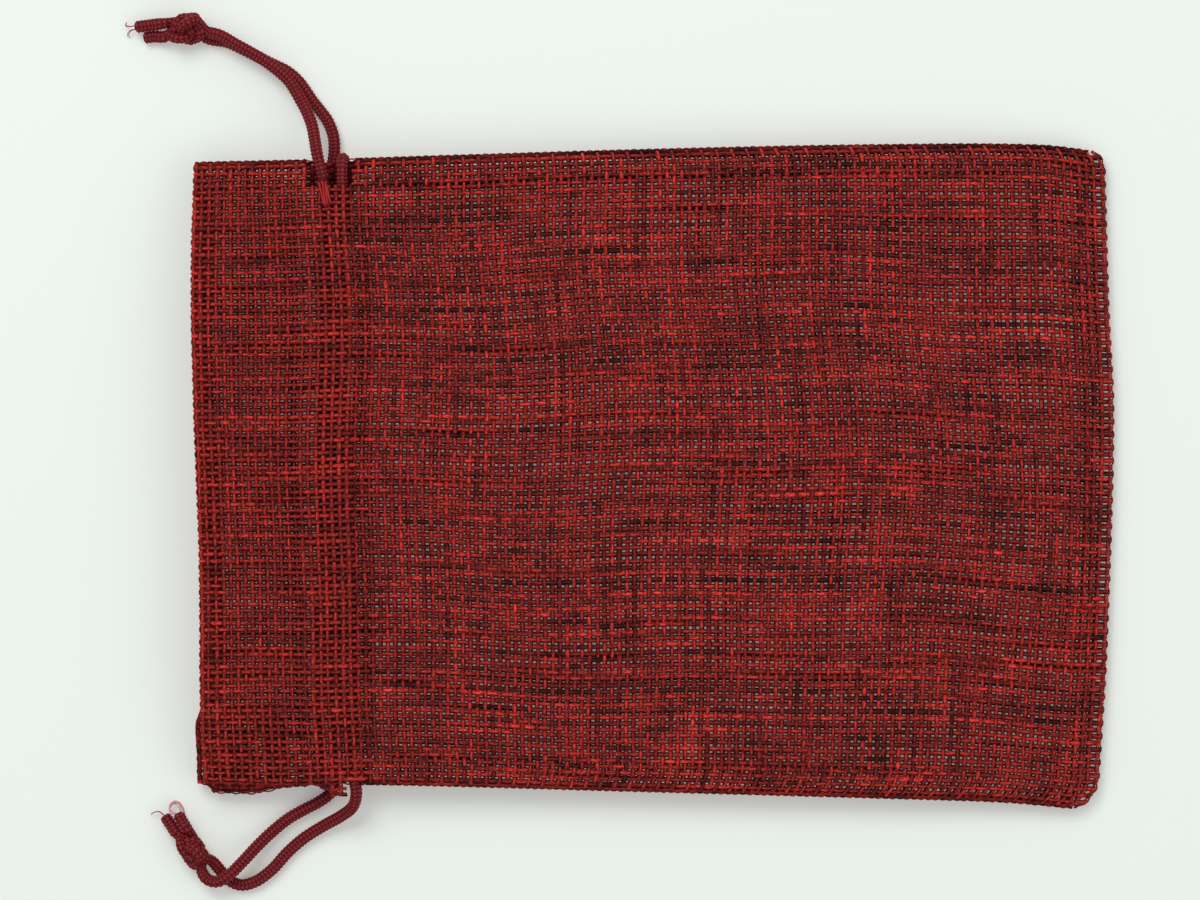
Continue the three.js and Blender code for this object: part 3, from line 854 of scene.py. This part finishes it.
def hem_yarn(weave, u, k, back):
    """A crosswise yarn of the hem. Its outer face is turned towards the inside of the pouch."""
    step = 1e-3
    t, j = pairs(YARN_T)
    points = hem_point(u, t, back)
    across = hem_point(u + step, t, back) - points
    sign = np.where((-2 - k + j) % 2 == 0, -1.0, 1.0)
    there = abs(t) < HEM_END
    if not back:
        there |= tongue(points[:, 0], t)
    # The hem, in shade behind the panel, is coloured brighter: painted light.
    finish_cross(weave, points, across, sign, there, u, HEM_PAINTED_LIGHT)


def fold_yarn(weave, place, angle, k, back):
    """A crosswise yarn that lies in the fold at the mouth or the base."""
    step = 0.02
    t, j = pairs(YARN_T)
    t, j = np.concatenate([[-0.993], t, [0.993]]), np.concatenate([[-1], j, [YARNS]])
    points = place(angle, t, back)
    across = -(place(angle + step, t, back) - points)
    if place is mouth_point:
        across = -across
    sign = np.where((k + j) % 2 == 0, -1.0, 1.0)
    finish_cross(weave, points, across, sign, abs(t) < 1, 0 if place is mouth_point else 3)


def make_cloth(side_name, back):
    along = Weave()
    for j, t in enumerate(YARN_T):
        lengthwise_yarn(along, t + 0.05 * MM / HALF_WIDTH * random.normal(), j, back)
    for m, inset in enumerate(INSETS):
        allowance_yarn(along, 1, inset, YARNS + 1 + m, back)
        allowance_yarn(along, -1, inset, -2 - m, back)
    for m, angle in enumerate(EDGE_ANGLES):
        edge_yarn(along, 1, angle, YARNS + m, back)
        edge_yarn(along, -1, angle, -1 - m, back)
    across = Weave()
    for k, u in enumerate(PICK_U):
        crosswise_yarn(across, u, k, back)
    for k, u in enumerate(HEM_U):
        hem_yarn(across, u, k, back)
    for angle in EDGE_ANGLES:
        fold_yarn(across, mouth_point, angle, -1, back)
    fold_yarn(across, base_point, math.radians(42), picks, back)
    if not back:
        fold_yarn(across, base_point, math.radians(88), picks + 1, back)
        flap_yarns(along)
    return along.build(f"{side_name}_cloth_lengthwise"), across.build(f"{side_name}_cloth_crosswise")


# Sewing
THREAD = 0.16 * MM           # radius of the sewing thread
STITCH = 2.6 * MM            # length of a stitch in the sewn rows
OVERLOCK_PITCH = 1.9 * MM
FILAMENT = 0.07 * MM         # radius of a frayed filament


def tubes(name, lines, radius, body, material, sides=6):
    """One mesh of thin round threads."""
    points, faces = [], []
    for line in lines:
        side, up = tube_frames(line)
        thin = np.full(len(line), radius)
        thin[[0, -1]] *= 0.6
        turn = np.arange(sides) * 2 * math.pi / sides
        ring = (np.cos(turn)[None, :, None] * side[:, None] + np.sin(turn)[None, :, None] * up[:, None])
        faces += ring_faces(len(line), sides, len(points))
        points += (line[:, None] + ring * thin[:, None, None]).reshape(-1, 3).tolist()
    piece = new_mesh(name, points, faces)
    piece.data.materials.append(material)
    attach(piece, body)
    return piece


def stitch_row(side_name, u, back):
    """A lockstitch: one thread on the outer face and one inside, that meet in every hole."""
    sign = -1 if back else 1
    count = int(2 * HEM_END * HALF_WIDTH / STITCH)
    half = np.linspace(-HEM_END, HEM_END, 4 * count + 1) * 0.995
    dip = abs(np.cos(np.arange(len(half)) * math.pi / 4)) ** 3
    dip[2::4] = 0
    outer = panel_point(u, half, back)
    inner = hem_point(u, half, back)
    outer[:, 2] += sign * (0.46 - 0.75 * dip) * MM
    inner[:, 2] -= sign * (0.46 - 0.60 * dip) * MM
    outer[:, 2] = np.maximum(outer[:, 2], THREAD)
    outer[:, 0] += 0.15 * MM * np.sin(np.arange(len(half)) * 2.4)
    name = {1: "mouth", 2: "body"}[u]
    lines = [even(outer, 0.3 * MM), even(inner, 0.3 * MM)]
    piece = tubes(f"{side_name}_stitches_{name}", lines, THREAD,
                  "pouch", thread_material())
    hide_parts(f"{side_name}_stitch_{name}")


def overlock(side_name, side, part, low, high):
    """Thread looped over the allowance's raw edges."""
    us = np.linspace(low, high, int(900 * (high - low)) + 2)
    x, _ = plan(us, side, False)
    turn = 2 * math.pi * (x - x[0]) / OVERLOCK_PITCH
    inset = (4.55 - 1.15 * np.cos(turn)) * MM
    y = plan(us, side * (1 - inset / HALF_WIDTH), False)[1]
    loops = np.stack([x, y, edge_middle(us) + 0.98 * MM * np.sin(turn)], axis=1)
    rim_inset = (5.75 + 0.12 * np.sin(turn)) * MM
    rim_y = plan(us, side * (1 - rim_inset / HALF_WIDTH), False)[1]
    rim = np.stack([x, rim_y, edge_middle(us) + 0.2 * MM * np.cos(turn)], axis=1)
    lines = [even(loops, 0.35 * MM), even(rim, 0.5 * MM)]
    piece = tubes(f"{side_name}_overlock_{part}_loops", lines, THREAD,
                  "pouch", thread_material(), 5)
    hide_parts(f"{side_name}_overlock_{part}")


# Where each loose thread of the tack starts on the cord's side and where it goes into the cloth
TACK = [
    ((-0.0651, 0.0571), (-0.0640, 0.0524)), ((-0.0645, 0.0573), (-0.0636, 0.0521)),
    ((-0.0639, 0.0570), (-0.0631, 0.0525)), ((-0.0635, 0.0565), (-0.0626, 0.0528)),
]


def exit_tack():
    """Loose red threads that hold the casing shut beside the upper cord's exit."""
    lines = []
    for n, (start, end) in enumerate(TACK):
        s = np.linspace(0, 1, 9)
        x = lerp(start[0], end[0], s) + 0.12 * MM * np.sin(3 * s + n)
        y = lerp(start[1], end[1], s)
        z = front_top(1.55, y / HALF_WIDTH) + (0.42 - 0.9 * abs(2 * s - 1) ** 6) * MM
        lines.append(spline(np.stack([x, y, z], axis=1), 0.25 * MM))
    piece = tubes("exit_tack_threads", lines, 0.22 * MM, "pouch", tack_material())
    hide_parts("exit_tack")


# Loose filaments at the cut ends. Each is a listed route.
UPPER_FRAYS = [
    [(-0.1011, 0.0880, 0.0022), (-0.1022, 0.0878, 0.0018), (-0.1032, 0.0880, 0.0012),
     (-0.1031, 0.0886, 0.0008)],
    [(-0.1009, 0.0873, 0.0018), (-0.1022, 0.0870, 0.0013), (-0.1027, 0.0863, 0.0009),
     (-0.1026, 0.0857, 0.0006)],
]
LOWER_FRAYS = [
    [(-0.0955, -0.0664, 0.0014), (-0.0966, -0.0656, 0.0012), (-0.0977, -0.0658, 0.0009),
     (-0.0981, -0.0662, 0.0006)],
]
# A ring of loose filaments at the lower front strand's end
RING = [(-0.0929, -0.0660, 0.0026), (-0.0942, -0.0656, 0.0022), (-0.0945, -0.0645, 0.0017),
        (-0.0938, -0.0637, 0.0012), (-0.0928, -0.0640, 0.0012), (-0.0922, -0.0650, 0.0012),
        (-0.0919, -0.0662, 0.0010), (-0.0920, -0.0669, 0.0008)]


def filaments(routes, count, spread):
    """Each route as a few hairs that fan out towards its end."""
    lines = []
    for route in routes:
        for _ in range(count):
            shift = random.normal(size=3) * spread * np.array([1, 1, 0.5])
            grown = np.array(route) + np.linspace(0.3, 1, len(route))[:, None] * shift
            grown[:, 2] = np.maximum(grown[:, 2], 0.2 * MM)
            lines.append(spline(grown, 0.15 * MM))
    return lines


# Materials

def node_material(name):
    material = bpy.data.materials.new(name)
    material.use_nodes = True
    tree = material.node_tree
    shader = tree.nodes["Principled BSDF"]
    return material, tree, shader


def attribute(tree, name, output):
    node = tree.nodes.new("ShaderNodeAttribute")
    node.attribute_name = name
    return node.outputs[output]


def noise(tree, scale, detail=3.0):
    place = tree.nodes.new("ShaderNodeTexCoord")
    node = tree.nodes.new("ShaderNodeTexNoise")
    node.inputs["Scale"].default_value = scale
    node.inputs["Detail"].default_value = detail
    tree.links.new(place.outputs["Object"], node.inputs["Vector"])
    return node.outputs["Fac"]


def mapped(tree, value, low, high, to_low, to_high):
    node = tree.nodes.new("ShaderNodeMapRange")
    for key, number in zip(("From Min", "From Max", "To Min", "To Max"), (low, high, to_low, to_high)):
        node.inputs[key].default_value = number
    tree.links.new(value, node.inputs["Value"])
    return node.outputs["Result"]


def tinted(tree, colour, factor):
    """A colour made lighter or darker by a factor."""
    node = tree.nodes.new("ShaderNodeVectorMath")
    node.operation = "SCALE"
    tree.links.new(colour, node.inputs[0])
    tree.links.new(factor, node.inputs["Scale"])
    return node.outputs["Vector"]


def bump(tree, height, strength, distance, shader):
    node = tree.nodes.new("ShaderNodeBump")
    node.inputs["Strength"].default_value = strength
    node.inputs["Distance"].default_value = distance
    tree.links.new(height, node.inputs["Height"])
    tree.links.new(node.outputs["Normal"], shader.inputs["Normal"])


made_materials = {}


def once(make):
    def get():
        if make.__name__ not in made_materials:
            made_materials[make.__name__] = make()
        return made_materials[make.__name__]
    return get


@once
def cloth_material():
    material, tree, shader = node_material("woven cloth")
    stretched = tree.nodes.new("ShaderNodeVectorMath")
    stretched.operation = "MULTIPLY"
    stretched.inputs[1].default_value = (2.6, 1.1, 1)
    tree.links.new(attribute(tree, "yarn", "Vector"), stretched.inputs[0])
    strands = tree.nodes.new("ShaderNodeTexNoise")
    strands.inputs["Scale"].default_value = 1
    strands.inputs["Detail"].default_value = 2
    tree.links.new(stretched.outputs["Vector"], strands.inputs["Vector"])
    fibres = noise(tree, 3500)
    dye = attribute(tree, "dye", "Color")
    streaked = tinted(tree, dye, mapped(tree, strands.outputs["Fac"], 0.36, 0.64, 0.35, 1.75))
    colour = tinted(tree, streaked, mapped(tree, fibres, 0.3, 0.7, 0.7, 1.3))
    tree.links.new(colour, shader.inputs["Base Color"])
    shader.inputs["Roughness"].default_value = 0.85
    shader.inputs["Specular IOR Level"].default_value = 0.12
    bump(tree, fibres, 0.5, 0.0001, shader)
    return material


@once
def cord_material():
    material, tree, shader = node_material("knitted cord")
    split = tree.nodes.new("ShaderNodeSeparateXYZ")
    tree.links.new(attribute(tree, "knit", "Vector"), split.inputs[0])
    # Painted shade: the colour darkens from the knit's ridges down into its pits, where shade falls.
    ramp = tree.nodes.new("ShaderNodeValToRGB")
    stops = ramp.color_ramp.elements
    stops[0].position, stops[0].color = 0.12, (0.014, 0.001, 0.002, 1)
    stops[1].position, stops[1].color = 1.0, (0.430, 0.031, 0.041, 1)
    middle = stops.new(0.55)
    middle.color = (0.185, 0.011, 0.015, 1)
    tree.links.new(split.outputs[0], ramp.inputs["Fac"])
    fibres = noise(tree, 4000)
    colour = tinted(tree, ramp.outputs["Color"], mapped(tree, fibres, 0.3, 0.7, 0.7, 1.3))
    tree.links.new(colour, shader.inputs["Base Color"])
    shader.inputs["Roughness"].default_value = 0.6
    shader.inputs["Specular IOR Level"].default_value = 0.15
    bump(tree, fibres, 0.3, 0.0001, shader)
    return material


@once
def thread_material():
    material, tree, shader = node_material("sewing thread")
    fibres = noise(tree, 5000)
    ramp = tree.nodes.new("ShaderNodeValToRGB")
    stops = ramp.color_ramp.elements
    stops[0].position, stops[0].color = 0.3, (0.12, 0.010, 0.014, 1)
    stops[1].position, stops[1].color = 0.7, (0.34, 0.026, 0.032, 1)
    tree.links.new(fibres, ramp.inputs["Fac"])
    tree.links.new(ramp.outputs["Color"], shader.inputs["Base Color"])
    shader.inputs["Roughness"].default_value = 0.55
    bump(tree, fibres, 0.3, 0.0001, shader)
    return material


def plain_fibre(name, colour):
    material, tree, shader = node_material(name)
    fibres = noise(tree, 5000)
    base = tree.nodes.new("ShaderNodeRGB")
    base.outputs[0].default_value = (*colour, 1)
    tinted_colour = tinted(tree, base.outputs[0], mapped(tree, fibres, 0.3, 0.7, 0.75, 1.25))
    tree.links.new(tinted_colour, shader.inputs["Base Color"])
    shader.inputs["Roughness"].default_value = 0.6
    shader.inputs["Specular IOR Level"].default_value = 0.2
    return material


@once
def tack_material():
    return plain_fibre("red tack thread", (0.42, 0.020, 0.022))


@once
def fray_material():
    return plain_fibre("frayed filament", (0.45, 0.055, 0.130))


@once
def pale_fray_material():
    return plain_fibre("pale frayed filament", (0.75, 0.36, 0.42))


# Stage

# Name, place, power in watts and side of each soft lamp
LAMPS = [("key", (-0.35, 0.55, 0.9), 5, 0.6), ("fill", (0.7, -0.4, 0.8), 2, 0.9)]


def make_stage():
    mesh = bpy.data.meshes.new("floor")
    mesh.from_pydata([(-2, -2, 0), (2, -2, 0), (2, 2, 0), (-2, 2, 0)], [], [(0, 1, 2, 3)])
    floor = bpy.data.objects.new("floor", mesh)
    bpy.context.scene.collection.objects.link(floor)
    floor.location.z = -0.1 * MM
    material, _, shader = node_material("pale floor")
    # Painted light: the floor glows faintly pink, so that it looks pale through the cloth's holes and
    # pinkish in the shade under the pouch, standing in for light let through the yarns and for red light
    # bounced from the cloth. Its base colour is greener so that the lit floor still looks pale grey-green.
    shader.inputs["Base Color"].default_value = (0.76, 0.84, 0.80, 1)
    shader.inputs["Roughness"].default_value = 0.9
    shader.inputs["Specular IOR Level"].default_value = 0.1
    shader.inputs["Emission Color"].default_value = (1.0, 0.88, 0.86, 1)
    shader.inputs["Emission Strength"].default_value = 0.21
    mesh.materials.append(material)

    world = bpy.data.worlds.new("studio")
    bpy.context.scene.world = world
    world.use_nodes = True
    sky = world.node_tree.nodes["Background"]
    sky.inputs["Color"].default_value = (0.93, 0.97, 0.95, 1)
    sky.inputs["Strength"].default_value = 0.48
    for name, place, power, size in LAMPS:
        lamp = bpy.data.objects.new(name, bpy.data.lights.new(name, "AREA"))
        bpy.context.scene.collection.objects.link(lamp)
        lamp.data.energy = power
        lamp.data.size = size
        lamp.location = place
        lamp.rotation_mode = "QUATERNION"
        lamp.rotation_quaternion = (-Vector(place)).to_track_quat("-Z", "Y")
    bpy.context.scene.view_settings.view_transform = "Standard"


make_camera()
make_stage()

KNOTS = {
    "upper": knotted(np.array([-0.0914, 0.0877, 0.0033]), (-1, 0.02), (0.95, 0.92, 0.92)),
    "lower": knotted(np.array([-0.0898, -0.0728, 0.0031]), (-0.49, 0.87), (0.72, 0.88, 0.85)),
}
for name, body, route, inside, tail in (
    ("upper_strand_front", "upper_drawcord", UPPER_FRONT, KNOTS["upper"][0], UPPER_END_FRONT),
    ("upper_strand_back", "upper_drawcord", UPPER_BACK, KNOTS["upper"][1], UPPER_END_BACK),
    ("lower_strand_front", "lower_drawcord", LOWER_FRONT, KNOTS["lower"][0], LOWER_END_FRONT),
    ("lower_strand_back", "lower_drawcord", LOWER_BACK, KNOTS["lower"][1], LOWER_END_BACK),
):
    piece, line = free_strand(name + "_knit", body, route, inside, tail)
    nodes = [name, name.replace("strand", "end")]
    if name.endswith("back"):
        nodes.append(name.replace("strand_back", "knot"))
    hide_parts(*nodes)
    print(name, "length", round(length_of(line), 4))

held_run("upper_drawcord_run", "upper_drawcord", -1, end=0.0576,
         enter=-0.0643, turn_front=-0.0616, turn_back=-0.0654, leave=-0.0636)
held_run("lower_drawcord_run", "lower_drawcord", 1, end=-0.0564,
         enter=-0.0586, turn_front=-0.0607, turn_back=-0.0604, leave=-0.0623)

frays = {
    "upper_strand_front": [("upper_frays", UPPER_FRAYS, 3, 0.12 * MM, fray_material())],
    "lower_strand_back": [("lower_frays", LOWER_FRAYS, 3, 0.12 * MM, fray_material())],
    "lower_strand_front": [("lower_fray_ring", [RING], 9, 0.35 * MM, pale_fray_material())],
}
for name, kinds in frays.items():
    body = name.split("_")[0] + "_drawcord"
    [
        tubes(kind, filaments(routes, count, spread), FILAMENT, body, material, 5)
        for kind, routes, count, spread, material in kinds
    ]

SIDES = (("front", False), ("back", True))
cloths = {}
for side_name, back in SIDES:
    cloths[side_name] = make_cloth(side_name, back)

for side_name, back in SIDES:
    for u in (1, 2):
        stitch_row(side_name, u, back)
for side_name, side in (("upper", 1), ("lower", -1)):
    overlock(side_name, side, "header", 0.03, 0.93)
    overlock(side_name, side, "body", 2.03, 2.9)
exit_tack()

for side_name, (along, across) in cloths.items():
    nodes = [f"{side_name}_panel", f"{side_name}_hem", f"{side_name}_mouth_fold"]
    if side_name == "front":
        nodes += ["base_fold", "upper_seam_header", "upper_seam_body"]
        nodes += ["lower_seam_header", "lower_seam_body"]
    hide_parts(*nodes)
